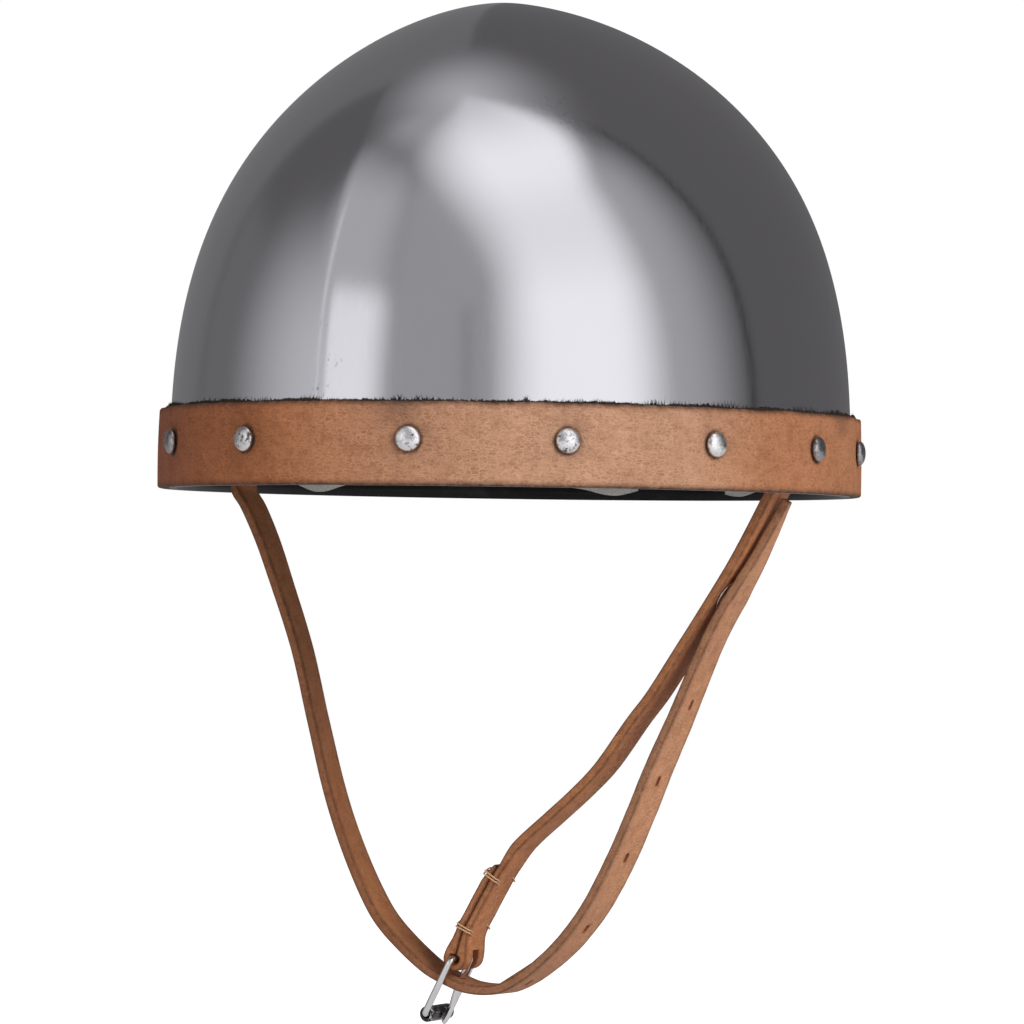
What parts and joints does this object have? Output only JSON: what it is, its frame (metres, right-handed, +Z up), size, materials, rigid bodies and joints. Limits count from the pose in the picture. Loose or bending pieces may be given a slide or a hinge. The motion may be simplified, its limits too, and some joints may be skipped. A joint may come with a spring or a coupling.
{
  "type": "steel combat helmet",
  "caption": "Plain polished steel skull-cap combat helmet with a riveted leather brow band, a laced leather lining and a leather chin strap with a roller buckle.",
  "frame": {"origin": "middle of the brow opening, in the plane of the steel rim's underside", "axes": "+Z up through the crown, -Y the way the wearer's face looks, +X the wearer's left"},
  "size_m": [0.2054, 0.2416, 0.3036],
  "materials": {
    "shell_steel": "polished bare steel",
    "band_leather": "tan cowhide, fine grain, cut edges",
    "strap_leather": "brown strap leather, matt",
    "liner_leather": "light grey suede",
    "lace_cord": "dark leather cord",
    "rivet_steel": "hammered bare steel",
    "nickel_wire": "bright nickel plate",
    "black_steel": "gloss black"
  },
  "bodies": {
    "helmet": {"skull_shell": "shell_steel", "brow_band": "band_leather", "rivet_01": "rivet_steel", "rivet_02": "rivet_steel", "rivet_03": "rivet_steel", "rivet_04": "rivet_steel", "rivet_05": "rivet_steel", "rivet_06": "rivet_steel", "rivet_07": "rivet_steel", "rivet_08": "rivet_steel", "rivet_09": "rivet_steel", "rivet_10": "rivet_steel", "rivet_11": "rivet_steel", "rivet_12": "rivet_steel", "rivet_13": "rivet_steel", "rivet_14": "rivet_steel", "washer_01": "rivet_steel", "washer_02": "rivet_steel", "washer_03": "rivet_steel", "washer_04": "rivet_steel", "washer_05": "rivet_steel", "washer_06": "rivet_steel", "washer_07": "rivet_steel", "washer_08": "rivet_steel", "washer_09": "rivet_steel", "washer_10": "rivet_steel", "washer_11": "rivet_steel", "washer_12": "rivet_steel", "washer_13": "rivet_steel", "washer_14": "rivet_steel", "liner_tongue_1": "liner_leather", "liner_tongue_2": "liner_leather", "liner_tongue_3": "liner_leather", "liner_tongue_4": "liner_leather", "liner_tongue_5": "liner_leather", "liner_tongue_6": "liner_leather", "liner_tongue_7": "liner_leather", "crown_lace": "lace_cord"},
    "chin_strap": {"long_strap": "strap_leather", "buckle_strap": "strap_leather", "strap_rivet": "rivet_steel", "strap_washer": "rivet_steel"},
    "buckle_prong": {"buckle_prong": "nickel_wire"},
    "buckle_frame": {"buckle_frame": "nickel_wire"},
    "buckle_roller": {"buckle_roller": "black_steel"}
  },
  "joints": [
    {"name": "chin_strap_swing", "type": "hinge", "parent": "helmet", "child": "chin_strap", "pos_m": [0, -0.00378, 0.0128], "axis": [1, 0, 0], "range_deg": [-50, 50]},
    {"name": "prong_pivot", "type": "hinge", "parent": "chin_strap", "child": "buckle_prong", "pos_m": [-0.01276, -0.00378, -0.13812], "axis": [0, 1, 0], "range_deg": [0, 10]},
    {"name": "buckle_pivot", "type": "hinge", "parent": "buckle_prong", "child": "buckle_frame", "pos_m": [-0.01276, -0.00378, -0.13812], "axis": [0, 1, 0], "range_deg": [0, 36]},
    {"name": "roller_spin", "type": "hinge", "parent": "buckle_frame", "child": "buckle_roller", "pos_m": [-0.02153, -0.00378, -0.15497], "axis": [0, 1, 0], "continuous": true}
  ]
}
